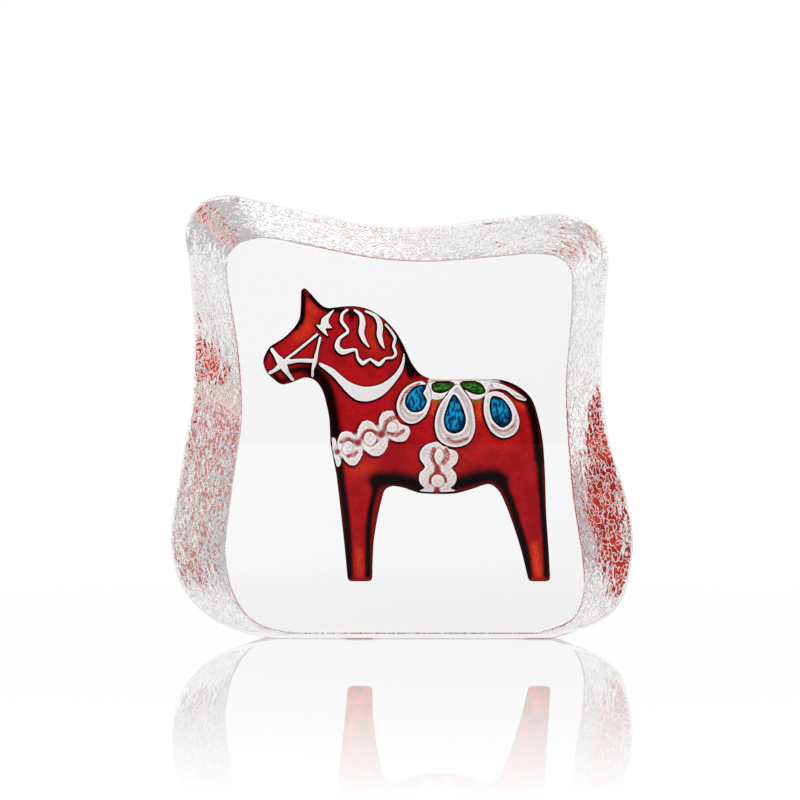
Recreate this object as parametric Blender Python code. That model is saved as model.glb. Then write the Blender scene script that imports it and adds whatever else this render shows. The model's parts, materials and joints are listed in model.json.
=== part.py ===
"""A dala horse motif in a cast crystal block, in metres, +Z up.

The block is one pressed glass casting. Its front face (-Y) is the large polished one, its side walls
draw in towards the back, and its base is ground flat at z = 0. The horse is an intaglio: a recess in
the back face, lined by a red enamel coat. White, blue and green enamel fields lie in pockets in the
front of that coat. The frame's origin is the middle of the base, under the middle of the depth.
"""

import math

import bmesh
import bpy
from mathutils import Vector, geometry

MM = 0.001

# Driving dimensions, in millimetres
DEPTH = 32.0
FRONT = -DEPTH / 2
BACK = DEPTH / 2
FRONT_BEVEL = 1.0
BACK_BEVEL = 0.5
GAP = 0.3  # clearance between neighbouring solids
RIM_DEPTH = 1.6  # depth of the recess right at the horse's outline
CHAMFER_WIDTH = 3.2
CHAMFER_DEPTH = 3.4
DOME_DEPTH = 2.4
DOME_REACH = 6.0
COAT_THICKNESS = 1.9
FIELD_THICKNESS = 0.5
FIELD_SETBACK = 0.15  # the fields' faces lie this far behind the coat's face
CONTOURS = (0.7, 1.7, 2.9)  # distances inside the horse's outline that the relief is modelled at
LATTICE_SPACING = 2.3
LATTICE_MARGIN = 3.7
FIELD_MARGIN = 0.4  # how far inside a field's edge its relief points start
SHARP_ANGLE = 35  # degrees between faces from which an edge stays sharp
SAME_PLACE = 1e-6

# Outline of the polished front face, (x, z), anticlockwise seen from behind, from the base's left end
FRONT_OUTLINE = [
    (-33, 0, "corner"), (-42.7, 2.0), (-51.8, 7.0), (-57.9, 15.2), (-60, 27.5), (-57.3, 45.5),
    (-54.5, 63.0), (-54.1, 80.0), (-55.4, 98.0), (-56.1, 106.5), (-52.3, 113.2), (-44.5, 115.2),
    (-28.5, 112.0), (-9.0, 107.5), (8.0, 107.2), (25.0, 109.4), (40.5, 110.4), (49.6, 107.8),
    (53.6, 100.5), (53.0, 88.0), (51.9, 70.0), (53.5, 53.0), (58.0, 38.0), (60, 24.5),
    (57.3, 10.4), (50.6, 4.0), (39, 0, "corner"),
]

# Outline of the back face, knot for knot with the front one
BACK_OUTLINE = [
    (-29, 0, "corner"), (-36.5, 1.6), (-42.0, 5.6), (-45.7, 12.8), (-47.1, 23.0), (-45.0, 40.5),
    (-42.7, 58.0), (-43.8, 76.0), (-46.4, 92.5), (-46.3, 100.0), (-43.2, 103.7), (-36.5, 105.2),
    (-25.0, 103.2), (-9.0, 100.0), (5.5, 98.9), (19.5, 99.7), (34.5, 101.0), (41.5, 100.0),
    (45.2, 96.0), (45.2, 85.5), (43.8, 67.0), (44.2, 53.5), (45.7, 36.0), (48.0, 21.0),
    (48.4, 11.0), (45.2, 3.6), (36, 0, "corner"),
]

# The horse in profile, facing left, clockwise from the ear's tip
HORSE_OUTLINE = [
    (-25.7, 91.6), (-24.2, 90.2), (-21.5, 87.3), (-19.6, 86.4), (-17.3, 86.6), (-13.0, 86.9),
    (-9.0, 86.1), (-5.0, 83.7), (-1.7, 80.2), (0.6, 76.2), (2.4, 72.2), (4.6, 69.2),
    (7.4, 67.7), (12.0, 67.4), (20.0, 67.6), (26.4, 67.3), (31.0, 65.5), (34.4, 62.3),
    (36.1, 57.6), (37.4, 51.0), (38.0, 42.0), (38.3, 32.0), (39.0, 21.5), (39.3, 14.6),
    (38.5, 13.9), (34.3, 13.9), (33.5, 14.7), (31.7, 22.0), (29.1, 30.2), (26.2, 37.1),
    (23.3, 39.6), (19.4, 38.6), (14.4, 37.2), (9.4, 37.0), (4.6, 37.3), (1.0, 38.5),
    (-2.4, 39.1), (-4.6, 37.9), (-6.2, 32.0), (-7.5, 24.0), (-7.9, 14.7), (-8.7, 13.9),
    (-13.6, 13.9), (-14.4, 14.7), (-15.2, 23.0), (-16.3, 33.0), (-17.5, 42.8), (-18.9, 50.0),
    (-19.3, 57.2), (-20.9, 64.0), (-23.0, 67.1), (-25.8, 67.9), (-28.5, 66.9), (-31.8, 66.1),
    (-34.0, 67.5), (-35.8, 69.2), (-36.8, 72.0), (-36.1, 74.4), (-34.8, 76.3), (-31.6, 78.3),
    (-28.6, 81.2), (-27.1, 84.0), (-26.8, 88.5), (-26.7, 91.0),
]

# Strokes are (x, z, width) along the brush's path; loops are outlines like those above
BRIDLE_STROKES = [
    [(-34.5, 75.4, 0.9), (-33.2, 73.6, 1.3), (-31.8, 71.7, 2.4), (-30.3, 69.2, 1.2), (-28.9, 67.3, 0.8)],
    [(-31.9, 71.3, 1.6), (-33.6, 69.9, 1.0), (-35.1, 69.1, 0.8)],
    [(-31.4, 71.9, 1.8), (-27.5, 72.4, 1.0), (-23.0, 72.3, 1.3)],
    [(-30.6, 72.7, 0.8), (-26.2, 76.2, 0.7), (-22.4, 79.3, 0.7)],
    [(-21.6, 78.4, 0.7), (-22.3, 75.3, 0.7), (-23.0, 72.2, 1.2), (-23.6, 70.0, 0.7), (-23.7, 68.3, 0.7)],
]
BROW_KNOT = [
    (-22.7, 81.9), (-21.6, 81.8), (-21.2, 83.4), (-19.4, 85.0), (-17.9, 85.9), (-19.2, 83.7),
    (-19.3, 82.3), (-18.5, 81.0), (-20.1, 80.8), (-19.5, 78.8), (-21.2, 80.1),
]
MANE_SCROLL = [
    (-14.4, 85.9, 0.6), (-15.7, 84.8, 0.8), (-15.9, 82.8, 0.9), (-14.7, 81.1, 0.8), (-14.3, 79.9, 0.8),
    (-16.4, 78.3, 0.9), (-17.1, 76.2, 1.4), (-15.7, 74.7, 1.5), (-13.6, 75.1, 1.0), (-12.1, 75.1, 0.8),
    (-11.7, 73.3, 0.7), (-10.3, 71.7, 1.2), (-8.4, 72.7, 0.7), (-6.1, 71.4, 1.2), (-4.4, 72.9, 0.7),
    (-2.5, 73.2, 0.7), (-1.6, 74.3, 0.8), (-2.2, 76.3, 0.8), (-1.8, 78.4, 0.8), (-3.4, 80.9, 0.6),
    (-4.4, 82.0, 0.5),
]
MANE_LOCKS = {
    "front": [
        (-12.6, 85.8, 0.5), (-10.9, 84.5, 1.1), (-10.4, 82.2, 1.6), (-10.7, 79.8, 1.5),
        (-9.8, 77.5, 1.0), (-8.7, 76.0, 0.4),
    ],
    "rear": [
        (-9.7, 85.5, 0.5), (-7.1, 84.3, 1.0), (-5.8, 81.9, 1.5), (-5.9, 79.3, 1.5),
        (-5.4, 77.2, 1.1), (-4.7, 75.7, 0.4),
    ],
}
COLLAR_BAND = [
    (-21.9, 71.9), (-18.2, 70.3), (-14.2, 67.0), (-10.0, 65.5), (-5.6, 66.2), (-2.0, 68.8),
    (-0.1, 71.9), (0.5, 74.6), (0.8, 72.6), (0.2, 69.7), (-1.6, 66.9), (-4.4, 63.7), (-8.0, 61.8), (-11.8, 61.9),
    (-14.8, 64.2), (-18.2, 68.1), (-21.6, 70.9),
]
BREAST_LINKS = {
    "edge": [
        (-18.6, 51.8), (-17.7, 51.7), (-17.4, 50.4), (-18.0, 49.2), (-17.9, 47.9), (-17.4, 47.3),
        (-16.3, 46.4), (-16.2, 45.0), (-16.9, 44.2), (-17.4, 44.7), (-18.1, 48.0),
    ],
    "front": [
        (-17.0, 51.1), (-16.2, 53.1), (-14.8, 53.7), (-13.2, 53.2), (-12.1, 51.6), (-12.4, 50.4),
        (-11.6, 49.4), (-10.8, 49.6), (-10.4, 48.2), (-11.0, 46.3), (-12.4, 44.7), (-14.0, 44.9),
        (-15.6, 46.7), (-16.6, 48.4),
    ],
    "middle": [
        (-11.7, 52.0), (-11.6, 54.0), (-10.7, 55.9), (-9.1, 56.5), (-7.4, 55.7), (-6.5, 54.2),
        (-6.4, 52.6), (-5.3, 51.9), (-4.3, 52.1), (-3.7, 50.5), (-4.4, 48.6), (-6.1, 47.2),
        (-8.0, 47.4), (-9.8, 48.8), (-10.7, 50.4),
    ],
    "rear": [
        (-5.7, 54.4), (-6.0, 56.8), (-5.0, 58.6), (-2.5, 59.1), (-1.7, 57.5), (-0.2, 55.6), (1.7, 54.9),
        (2.1, 53.3), (1.2, 51.5), (-0.6, 50.9), (-2.4, 51.3), (-3.9, 52.5), (-4.4, 53.8),
    ],
}
# Oval cores inside the links: (x, z, half width, half height, lean in degrees)
BREAST_CORES = {
    "front": (-14.3, 49.3, 1.2, 1.8, -20),
    "middle": (-8.4, 51.8, 1.6, 1.8, 20),
    "rear": (-2.6, 54.7, 1.4, 1.3, 20),
}
GIRTH_BAND = [
    (9.4, 50.9), (7.6, 50.6), (5.9, 49.8), (4.8, 48.1), (4.9, 46.2), (6.1, 44.2), (4.8, 42.7),
    (4.5, 41.0), (5.1, 39.5), (6.0, 38.6), (4.6, 37.9), (7.0, 37.6), (9.4, 37.6), (12.0, 37.6),
    (14.3, 37.9), (12.9, 38.6), (13.9, 39.6), (14.5, 41.1), (14.2, 42.7), (13.2, 44.0), (14.4, 45.2),
    (14.9, 46.9), (14.3, 48.4), (12.4, 49.1), (10.8, 49.9),
]
GIRTH_ALMOND = [(9.9, 49.1), (8.8, 47.9), (8.7, 46.4), (9.6, 44.8), (10.7, 46.3), (10.8, 47.8)]
GIRTH_OVAL = (9.5, 40.6, 1.7, 1.6, 0)
GIRTH_BEADS = [(9.4, 43.6, 1.0, 1.0, 0), (9.3, 38.0, 0.9, 0.9, 0)]
RING_WIDTH = 0.5  # width of red that shows round a core
PETALS = {
    "front": [
        (5.2, 67.0), (2.0, 66.0), (-0.4, 63.6), (-1.4, 60.4), (-0.6, 57.6), (1.6, 55.8), (4.0, 56.0),
        (6.2, 57.8), (7.5, 60.8), (7.6, 63.4), (6.9, 65.6),
    ],
    "middle": [
        (14.4, 66.0), (12.0, 63.4), (9.8, 60.2), (8.7, 55.8), (9.8, 51.4), (13.8, 49.5), (17.9, 50.9),
        (19.4, 55.2), (18.5, 61.0), (16.5, 64.2),
    ],
    "rear": [
        (22.0, 62.8), (21.7, 58.6), (23.4, 54.0), (26.6, 51.9), (30.0, 53.2), (31.1, 56.6),
        (29.4, 61.1), (26.6, 63.8), (23.8, 64.2),
    ],
    "far": [
        (23.8, 66.6), (26.4, 66.2), (29.6, 64.6), (33.0, 62.3), (32.6, 61.7), (30.2, 62.4),
        (27.8, 64.4), (24.6, 65.3),
    ],
}
DROPS = {
    "front": [
        (6.2, 65.8), (3.6, 65.2), (1.6, 63.2), (1.2, 60.8), (2.8, 59.1), (5.2, 59.5), (6.3, 61.8),
        (5.4, 63.5), (5.6, 64.4),
    ],
    "middle": [
        (13.8, 63.0), (12.4, 60.5), (11.4, 57.0), (12.0, 54.3), (14.0, 53.4), (16.0, 54.5),
        (16.6, 57.2), (15.4, 60.8),
    ],
    "rear": [
        (24.1, 62.6), (23.5, 60.0), (24.3, 56.8), (26.6, 55.0), (28.7, 56.6), (28.5, 59.3),
        (26.6, 61.9),
    ],
}
LEAVES = {
    "front": [
        (8.3, 66.1), (10.4, 66.6), (13.6, 66.3), (12.6, 65.0), (10.6, 64.1), (8.5, 64.5),
    ],
    "rear": [
        (15.8, 66.3), (18.6, 66.7), (20.8, 66.1), (21.8, 64.2), (19.8, 63.7), (17.4, 64.6),
    ],
}
SADDLE_BAND = [
    (7.0, 66.4), (10.0, 67.0), (15.0, 67.0), (20.0, 67.1), (23.2, 66.8), (22.8, 65.3), (22.0, 63.2),
    (20.4, 62.2), (18.6, 62.2), (16.0, 63.6), (12.6, 63.4), (10.2, 62.2), (8.2, 62.2), (7.4, 64.6),
]

COLOURS = {
    "crystal": ((0.93, 0.96, 0.96), 0.02),
    "red_enamel": ((0.52, 0.02, 0.02), 0.35),
    "white_enamel": ((0.88, 0.86, 0.84), 0.4),
    "blue_enamel": ((0.03, 0.27, 0.45), 0.3),
    "green_enamel": ((0.07, 0.2, 0.04), 0.35),
}


def clear_scene():
    for obj in list(bpy.data.objects):
        bpy.data.objects.remove(obj)


def make_materials():
    for name, (colour, roughness) in COLOURS.items():
        material = bpy.data.materials.new(name)
        material.use_nodes = True
        shader = material.node_tree.nodes["Principled BSDF"]
        shader.inputs["Base Color"].default_value = (*colour, 1)
        shader.inputs["Roughness"].default_value = roughness
    glass = bpy.data.materials["crystal"].node_tree.nodes["Principled BSDF"]
    glass.inputs["Transmission Weight"].default_value = 1
    glass.inputs["IOR"].default_value = 1.55


# Outlines in the XZ plane, in millimetres


def through(knots, steps, closed=True):
    """Points on a smooth curve through the knots. A knot marked "corner" stays sharp."""
    places = [Vector([value for value in knot if value != "corner"]) for knot in knots]
    sharp = [knot[-1] == "corner" for knot in knots]
    count = len(places)
    tangents = []
    for i in range(count):
        before = places[i - 1] if closed or i > 0 else places[i]
        after = places[(i + 1) % count] if closed or i < count - 1 else places[i]
        reach = min((places[i] - before).length or 1e9, (after - places[i]).length or 1e9)
        across = after - before
        tangents.append(across.normalized() * min(reach, across.length / 2))
    points = []
    for i in range(count if closed else count - 1):
        j = (i + 1) % count
        leave = tangents[i] * (0 if sharp[i] else 1)
        arrive = tangents[j] * (0 if sharp[j] else 1)
        for k in range(steps):
            t = k / steps
            points.append(
                places[i] * (2 * t**3 - 3 * t**2 + 1)
                + leave * (t**3 - 2 * t**2 + t)
                + places[j] * (3 * t**2 - 2 * t**3)
                + arrive * (t**3 - t**2)
            )
    if not closed:
        points.append(places[-1])
    return points


def brushed(path, steps=2):
    """The outline of a brush stroke along (x, z, width) points, with blunt rounded ends."""
    line = through(path, steps, closed=False)
    left, right = [], []
    for i, point in enumerate(line):
        along = (line[min(i + 1, len(line) - 1)] - line[max(i - 1, 0)]).xy.normalized()
        side = Vector((-along.y, along.x)) * point.z / 2
        left.append(point.xy + side)
        right.append(point.xy - side)
    first = (line[0] - line[1]).xy.normalized() * line[0].z / 2
    last = (line[-1] - line[-2]).xy.normalized() * line[-1].z / 2
    return [line[0].xy + first, *left, line[-1].xy + last, *reversed(right)]


def oval(x, z, half_width, half_height, lean, sides=12):
    tilt = math.radians(lean)
    points = []
    for i in range(sides):
        turn = 2 * math.pi * i / sides
        across, up = half_width * math.cos(turn), half_height * math.sin(turn)
        points.append(
            Vector((
                x + across * math.cos(tilt) - up * math.sin(tilt),
                z + across * math.sin(tilt) + up * math.cos(tilt),
            ))
        )
    return points


def area_of(loop):
    return sum(a.cross(b) for a, b in zip(loop, loop[1:] + loop[:1])) / 2


def grown(loop, distance):
    """The loop moved outwards by distance, or inwards where it is negative."""
    turn = 1 if area_of(loop) > 0 else -1
    moved = []
    for i, point in enumerate(loop):
        before = (point - loop[i - 1]).normalized()
        after = (loop[(i + 1) % len(loop)] - point).normalized()
        out = Vector((before.y + after.y, -before.x - after.x)).normalized() * turn
        spread = max(0.5, abs(out.dot(Vector((before.y, -before.x)))))
        moved.append(point + out * distance / spread)
    return moved


def is_inside(point, loop):
    """True where the loop winds round the point."""
    turns = 0
    for a, b in zip(loop, loop[1:] + loop[:1]):
        if (a.y <= point.y) != (b.y <= point.y):
            side = (b - a).cross(point - a)
            if a.y <= point.y and side > 0:
                turns += 1
            elif b.y <= point.y and side < 0:
                turns -= 1
    return turns != 0


def distance_to(loop, point):
    nearest = 1e9
    for a, b in zip(loop, loop[1:] + loop[:1]):
        edge = b - a
        along = max(0.0, min(1.0, (point - a).dot(edge) / edge.length_squared))
        nearest = min(nearest, (a + edge * along - point).length)
    return nearest


# The relief


def relief(point):
    """How far the horse's face stands in front of the block's back face, at (x, z)."""
    if not is_inside(point, horse):
        return RIM_DEPTH
    inside = distance_to(horse, point)
    chamfer = math.sin(math.pi / 2 * min(1, inside / CHAMFER_WIDTH))
    dome = 1 - math.exp(-max(0, inside - CHAMFER_WIDTH / 2) / DOME_REACH)
    return RIM_DEPTH + CHAMFER_DEPTH * chamfer + DOME_DEPTH * dome


def lattice(loop, spacing, margin):
    """Inner points of the loop on a staggered lattice, at least margin away from its edge."""
    low_x = min(point.x for point in loop)
    high_x = max(point.x for point in loop)
    low_z = min(point.y for point in loop)
    high_z = max(point.y for point in loop)
    points = []
    row = 0
    while low_z + row * spacing < high_z:
        x = low_x + (row % 2) * spacing / 2
        while x < high_x:
            point = Vector((x, low_z + row * spacing))
            if is_inside(point, loop) and distance_to(loop, point) > margin:
                points.append(point)
            x += spacing
        row += 1
    return points


def contour_points(loop, distances):
    """Points a set distance inside the loop, which carry the chamfer's curve."""
    points = []
    for distance in distances:
        for point in grown(loop, -distance):
            if is_inside(point, loop) and distance_to(loop, point) > distance * 0.97:
                points.append(point)
    return points


def points_within(loops, margin):
    """The relief's points that lie inside the loops and clear of their edges."""
    kept = []
    for point in relief_points:
        if any(is_inside(point, loop) for loop in loops):
            if min(distance_to(loop, point) for loop in loops) > margin:
                kept.append(point)
    return kept


def triangulated(loops, holes, extra):
    """Triangles of the area inside any loop and outside every hole."""
    points, edges = [], []
    for loop in loops + holes:
        start = len(points)
        points += loop
        edges += [(start + i, start + (i + 1) % len(loop)) for i in range(len(loop))]
    points += extra
    found = geometry.delaunay_2d_cdt(points, edges, [], 0, SAME_PLACE)
    places, faces = found[0], found[2]
    kept = []
    for face in faces:
        centre = sum((places[i] for i in face), Vector((0, 0))) / len(face)
        if any(is_inside(centre, loop) for loop in loops):
            if not any(is_inside(centre, hole) for hole in holes):
                kept.append(face)
    return places, kept


def make_slab(name, places, faces, front, back):
    """A closed solid over the triangles, between the y values that front and back give in each place."""
    mesh = bmesh.new()
    used = sorted({i for face in faces for i in face})
    near = {i: mesh.verts.new(Vector((places[i].x, front(places[i]), places[i].y)) * MM) for i in used}
    far = {i: mesh.verts.new(Vector((places[i].x, back(places[i]), places[i].y)) * MM) for i in used}
    sides = set()
    for face in faces:
        mesh.faces.new([near[i] for i in face])
        mesh.faces.new([far[i] for i in reversed(face)])
        sides |= {(face[k], face[(k + 1) % len(face)]) for k in range(len(face))}
    for i, j in sorted(sides):
        if (j, i) not in sides:
            mesh.faces.new([near[j], near[i], far[i], far[j]])
    bmesh.ops.recalc_face_normals(mesh, faces=mesh.faces)
    return add_object(name, mesh)


def add_object(name, mesh):
    data = bpy.data.meshes.new(name)
    mesh.to_mesh(data)
    mesh.free()
    obj = bpy.data.objects.new(name, data)
    bpy.context.scene.collection.objects.link(obj)
    return obj


def paint(obj, material):
    obj.data.materials.append(bpy.data.materials[material])
    obj.data.shade_smooth()
    obj.data.set_sharp_from_angle(angle=math.radians(SHARP_ANGLE))


def cut_away(obj, cutter):
    cutter.hide_render = True
    cutter.display_type = "WIRE"
    difference = obj.modifiers.new("recess", "BOOLEAN")
    difference.operation = "DIFFERENCE"
    difference.object = cutter


# The pieces


def make_block():
    """The casting: a loft from the front outline to the back one, bevelled at both ends."""
    front_loop = through(FRONT_OUTLINE, 4)
    back_loop = through(BACK_OUTLINE, 4)
    rings = [
        (grown(front_loop, -FRONT_BEVEL), FRONT),
        (front_loop, FRONT + FRONT_BEVEL),
        (back_loop, BACK - BACK_BEVEL),
        (grown(back_loop, -BACK_BEVEL), BACK),
    ]
    mesh = bmesh.new()
    loops = []
    for loop, y in rings:
        loops.append([mesh.verts.new(Vector((point.x, y, point.y)) * MM) for point in loop])
    for near, far in zip(loops, loops[1:]):
        for i in range(len(near)):
            j = (i + 1) % len(near)
            mesh.faces.new([near[i], near[j], far[j], far[i]])
    mesh.faces.new(loops[0])
    mesh.faces.new(loops[-1])
    bmesh.ops.recalc_face_normals(mesh, faces=mesh.faces)
    block = add_object("crystal_block", mesh)
    paint(block, "crystal")
    return block


def make_coat():
    """The red coat that lines the recess: flush with the back face at its outline, hollow behind."""
    places, faces = triangulated([horse], [], relief_points)
    coat = make_slab(
        "red_body_coat",
        places,
        faces,
        lambda point: BACK - relief(point),
        lambda point: BACK - max(0, relief(point) - COAT_THICKNESS) if is_well_in(point) else BACK,
    )
    paint(coat, "red_enamel")
    mouth = grown(horse, GAP)
    places, faces = triangulated([mouth], [], relief_points)
    recess = make_slab(
        "recess_cutter",
        places,
        faces,
        lambda point: BACK - relief(point) - GAP,
        lambda point: BACK + 1,
    )
    return coat, recess


def is_well_in(point):
    return is_inside(point, horse) and distance_to(horse, point) > GAP


def make_field(name, loops, material, holes=()):
    """One enamel field, flush in the coat's face."""
    places, faces = triangulated(loops, list(holes), points_within(loops, FIELD_MARGIN))
    field = make_slab(
        name,
        places,
        faces,
        lambda point: BACK - relief(point) + FIELD_SETBACK,
        lambda point: BACK - relief(point) + FIELD_SETBACK + FIELD_THICKNESS,
    )
    paint(field, material)
    pockets.extend(grown(loop, GAP) for loop in loops)


def make_head_fields():
    make_field("bridle_straps", [brushed(path) for path in BRIDLE_STROKES], "white_enamel")
    make_field("brow_knot", [through(BROW_KNOT, 2)], "white_enamel")
    make_field("mane_scroll", [brushed(MANE_SCROLL)], "white_enamel")
    for name, path in MANE_LOCKS.items():
        make_field(f"mane_lock_{name}", [brushed(path)], "white_enamel")
    make_field("collar_band", [through(COLLAR_BAND, 2)], "white_enamel")


def make_garlands():
    for name, knots in BREAST_LINKS.items():
        holes = []
        if name in BREAST_CORES:
            core = oval(*BREAST_CORES[name])
            holes.append(grown(core, RING_WIDTH))
            make_field(f"breast_core_{name}", [core], "white_enamel")
        make_field(f"breast_link_{name}", [through(knots, 2)], "white_enamel", holes)
    almond = through(GIRTH_ALMOND, 2)
    make_field("girth_almond", [almond], "white_enamel")
    make_field("girth_oval", [oval(*GIRTH_OVAL)], "white_enamel")
    holes = [grown(almond, RING_WIDTH), grown(oval(*GIRTH_OVAL), RING_WIDTH)]
    holes += [oval(*bead) for bead in GIRTH_BEADS]
    make_field("girth_band", [through(GIRTH_BAND, 2)], "white_enamel", holes)


def make_saddle():
    drops = {name: through(knots, 2) for name, knots in DROPS.items()}
    leaves = {name: through(knots, 2) for name, knots in LEAVES.items()}
    petals = {name: through(knots, 2) for name, knots in PETALS.items()}
    leaf_room = [grown(leaf, GAP) for leaf in leaves.values()]
    for name, drop in drops.items():
        make_field(f"blue_drop_{name}", [drop], "blue_enamel")
    for name, leaf in leaves.items():
        make_field(f"green_leaf_{name}", [leaf], "green_enamel")
    for name, petal in petals.items():
        room = [grown(drops[name], GAP)] if name in drops else []
        make_field(f"white_petal_{name}", [petal], "white_enamel", room + leaf_room)
    petal_room = [grown(petal, GAP) for petal in petals.values()]
    make_field("saddle_band", [through(SADDLE_BAND, 2)], "white_enamel", leaf_room + petal_room)


def make_pockets():
    """The cutter that sinks every field's pocket into the coat's face."""
    places, faces = triangulated(pockets, [], points_within(pockets, 0.5))
    floor = FIELD_SETBACK + FIELD_THICKNESS + GAP
    return make_slab(
        "pocket_cutter",
        places,
        faces,
        lambda point: BACK - relief(point) - 2 * GAP,
        lambda point: BACK - relief(point) + floor,
    )


clear_scene()
make_materials()
horse = through(HORSE_OUTLINE, 2)
relief_points = contour_points(horse, CONTOURS) + lattice(horse, LATTICE_SPACING, LATTICE_MARGIN)
pockets = []
block = make_block()
coat, recess_cutter = make_coat()
cut_away(block, recess_cutter)
make_head_fields()
make_garlands()
make_saddle()
cut_away(coat, make_pockets())
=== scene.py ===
import json
import math

import bmesh
import bpy
import numpy as np
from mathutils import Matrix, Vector, geometry, kdtree


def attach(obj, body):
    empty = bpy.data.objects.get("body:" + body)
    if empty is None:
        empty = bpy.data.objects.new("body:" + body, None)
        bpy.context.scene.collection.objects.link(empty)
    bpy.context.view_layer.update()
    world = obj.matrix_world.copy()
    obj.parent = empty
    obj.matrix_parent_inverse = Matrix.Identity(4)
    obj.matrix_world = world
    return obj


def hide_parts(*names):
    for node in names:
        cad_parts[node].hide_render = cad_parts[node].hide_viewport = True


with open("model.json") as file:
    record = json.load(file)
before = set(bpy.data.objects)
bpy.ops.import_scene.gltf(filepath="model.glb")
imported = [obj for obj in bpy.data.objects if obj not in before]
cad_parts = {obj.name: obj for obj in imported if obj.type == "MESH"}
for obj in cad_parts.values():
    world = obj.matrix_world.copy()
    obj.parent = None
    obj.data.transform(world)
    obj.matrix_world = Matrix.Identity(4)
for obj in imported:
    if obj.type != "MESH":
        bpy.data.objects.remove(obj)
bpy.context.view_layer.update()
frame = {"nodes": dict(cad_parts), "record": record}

bpy.ops.object.select_all(action="DESELECT")
nodes = frame["nodes"]
mm = 0.001
backFace = 16.0  # millimetres behind the origin
frontFace = -16.0
# how closely the frame's places are matched and lines are sampled, in millimetres
traceForm = {"sameSpot": 0.004, "upright": 0.004, "backBand": 0.01, "sample": 0.06, "strokeStep": 0.5}
print("frame loaded:", len(nodes), "nodes")


# outlines are arrays of (x, z) in millimetres
def corners(node):
    # the node's triangles as an array of triangle, corner, xyz in millimetres
    mesh = nodes[node].data
    mesh.calc_loop_triangles()
    places = np.empty(len(mesh.vertices) * 3)
    mesh.vertices.foreach_get("co", places)
    order = np.empty(len(mesh.loop_triangles) * 3, dtype=int)
    mesh.loop_triangles.foreach_get("vertices", order)
    return places.reshape(-1, 3)[order].reshape(-1, 3, 3) / mm


def outlinesOf(node, onBack=False):
    # the closed lines that the node's upright walls stand on
    triangles = corners(node)
    facing = np.cross(triangles[:, 1] - triangles[:, 0], triangles[:, 2] - triangles[:, 0])
    facing /= np.maximum(np.linalg.norm(facing, axis=1), 1e-9)[:, None]
    walls = triangles[np.abs(facing[:, 1]) < traceForm["upright"]]
    flat = walls[:, :, [0, 2]].reshape(-1, 2)
    depth = walls[:, :, 1].reshape(-1)
    names = np.arange(len(flat))
    for i in range(len(flat)):
        if names[i] == i:
            near = np.abs(flat - flat[i]).max(axis=1) < traceForm["sameSpot"]
            names[near & (names > i)] = i
    links = {}
    for i in range(0, len(flat), 3):
        for a, b in ((i, i + 1), (i + 1, i + 2), (i + 2, i)):
            if names[a] == names[b]:
                continue
            if onBack and min(depth[a], depth[b]) < backFace - traceForm["backBand"]:
                continue
            links.setdefault(names[a], set()).add(names[b])
            links.setdefault(names[b], set()).add(names[a])
    loops = []
    while links:
        start = min(links)
        loop = [start]
        here = start
        while True:
            ways = [n for n in links[here] if n not in loop]
            if not ways:
                break
            here = ways[0]
            loop.append(here)
        for name in loop:
            links.pop(name, None)
        if len(loop) > 4:
            loops.append(flat[loop])
    return sorted(loops, key=lambda loop: -abs(areaOf(loop)))


def areaOf(loop):
    ahead = np.roll(loop, -1, axis=0)
    return float((loop[:, 0] * ahead[:, 1] - loop[:, 1] * ahead[:, 0]).sum() / 2)


def smoothed(loop, spacing, closed=True):
    # a curve through the loop's points, with a point about every spacing
    count = len(loop)
    points = []
    for i in range(count if closed else count - 1):
        a, b = loop[i], loop[(i + 1) % count]
        before = loop[i - 1] if closed or i > 0 else a
        after = loop[(i + 2) % count] if closed or i + 2 < count else b
        length = np.linalg.norm(b - a)
        leave = (b - before) * length / max(length + np.linalg.norm(a - before), 1e-6)
        arrive = (after - a) * length / max(length + np.linalg.norm(after - b), 1e-6)
        steps = max(1, round(length / spacing))
        for k in range(steps):
            t = k / steps
            points.append(
                a * (2 * t**3 - 3 * t**2 + 1) + leave * (t**3 - 2 * t**2 + t)
                + b * (3 * t**2 - 2 * t**3) + arrive * (t**3 - t**2)
            )
    if not closed:
        points.append(loop[-1])
    return np.array(points)


def isInside(points, loop):
    # which of the points the loop goes round
    within = np.zeros(len(points), dtype=bool)
    for a, b in zip(loop, np.roll(loop, -1, axis=0)):
        if a[1] == b[1]:
            continue
        across = (a[1] > points[:, 1]) != (b[1] > points[:, 1])
        reach = a[0] + (points[:, 1] - a[1]) * (b[0] - a[0]) / (b[1] - a[1])
        within ^= across & (points[:, 0] < reach)
    return within


def distanceTo(points, line, closed=True):
    # each point's distance to the line, from the nearest of many close points on it
    ends = np.roll(line, -1, axis=0) if closed else line[1:]
    close = []
    for a, b in zip(line, ends):
        steps = max(1, math.ceil(np.linalg.norm(b - a) / traceForm["sample"]))
        close.append(a + (b - a) * (np.arange(steps + (not closed)) / steps)[:, None])
    close = np.concatenate(close)
    tree = kdtree.KDTree(len(close))
    for i, (x, z) in enumerate(close):
        tree.insert((x, z, 0), i)
    tree.balance()
    return np.array([tree.find((x, z, 0))[2] for x, z in points])


def insetBy(loop, distance):
    # the loop moved inwards
    turn = 1 if areaOf(loop) > 0 else -1
    before = loop - np.roll(loop, 1, axis=0)
    after = np.roll(loop, -1, axis=0) - loop
    before /= np.linalg.norm(before, axis=1)[:, None]
    after /= np.linalg.norm(after, axis=1)[:, None]
    inward = np.stack([-(before + after)[:, 1], (before + after)[:, 0]], axis=1) * turn
    inward /= np.maximum(np.linalg.norm(inward, axis=1), 1e-6)[:, None]
    return loop + inward * distance


# the relief that every enamel lies on, in millimetres
reliefForm = {
    "rimDepth": 1.6,
    "chamferWidth": 3.2,
    "chamferDepth": 3.4,
    "domeDepth": 2.4,
    "domeReach": 6.0,
    "outlineStep": 0.35,
}
horse = smoothed(outlinesOf("red_body_coat", onBack=True)[0], reliefForm["outlineStep"])
print("horse outline:", len(horse), "points")


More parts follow.
